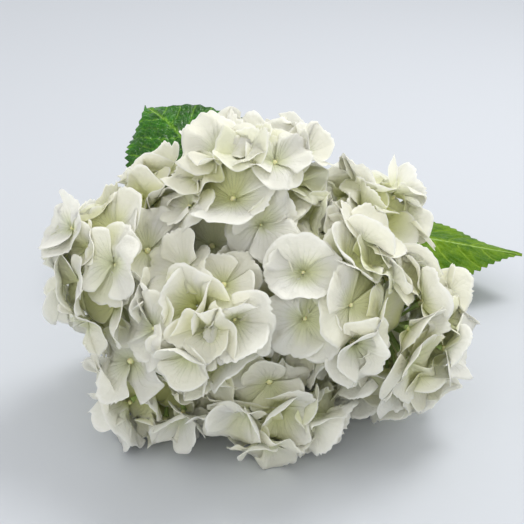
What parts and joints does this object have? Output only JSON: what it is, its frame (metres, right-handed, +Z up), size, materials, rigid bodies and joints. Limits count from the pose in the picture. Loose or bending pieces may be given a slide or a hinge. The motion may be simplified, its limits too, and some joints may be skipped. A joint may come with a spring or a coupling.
{
  "type": "cut hydrangea",
  "caption": "Cut white mophead hydrangea lying on its side, with a full rounded head of florets, a green stem and a pair of toothed leaves.",
  "frame": {"origin": "centre of the bounding box in plan, on the surface the flower lies on", "axes": "+Z up, +Y along the stem from the head to the cut end, -Y the way the head faces, +X to the right of the head seen from its face"},
  "size_m": [0.2644, 0.3484, 0.1507],
  "materials": {
    "sepal_white": "matt, thin and slightly translucent",
    "ray_green": "satin, soft green",
    "leaf_green": "semi-gloss, quilted between the veins",
    "stem_green": "satin, with small corky specks"
  },
  "bodies": {
    "root": {"floret_01": "sepal_white", "floret_02": "sepal_white", "floret_03": "sepal_white", "floret_04": "sepal_white", "floret_05": "sepal_white", "floret_06": "sepal_white", "floret_07": "sepal_white", "floret_08": "sepal_white", "floret_09": "sepal_white", "floret_10": "sepal_white", "floret_11": "sepal_white", "floret_12": "sepal_white", "floret_13": "sepal_white", "floret_14": "sepal_white", "floret_15": "sepal_white", "floret_16": "sepal_white", "floret_17": "sepal_white", "floret_18": "sepal_white", "floret_19": "sepal_white", "floret_20": "sepal_white", "floret_21": "sepal_white", "floret_22": "sepal_white", "floret_23": "sepal_white", "floret_24": "sepal_white", "floret_25": "sepal_white", "floret_26": "sepal_white", "floret_27": "sepal_white", "floret_28": "sepal_white", "floret_29": "sepal_white", "floret_30": "sepal_white", "floret_31": "sepal_white", "floret_32": "sepal_white", "floret_33": "sepal_white", "floret_34": "sepal_white", "floret_35": "sepal_white", "floret_36": "sepal_white", "floret_37": "sepal_white", "floret_38": "sepal_white", "floret_39": "sepal_white", "floret_40": "sepal_white", "floret_41": "sepal_white", "floret_42": "sepal_white", "floret_43": "sepal_white", "floret_44": "sepal_white", "floret_45": "sepal_white", "leaf_left": "leaf_green", "leaf_right": "leaf_green", "ray_back_left": "ray_green", "ray_back_right": "ray_green", "ray_crown": "ray_green", "ray_high_left": "ray_green", "ray_high_right": "ray_green", "ray_left": "ray_green", "ray_low_front": "ray_green", "ray_low_left": "ray_green", "ray_mid_left": "ray_green", "ray_mid_right": "ray_green", "ray_right": "ray_green", "ray_under": "ray_green", "stem": "stem_green"}
  },
  "joints": []
}
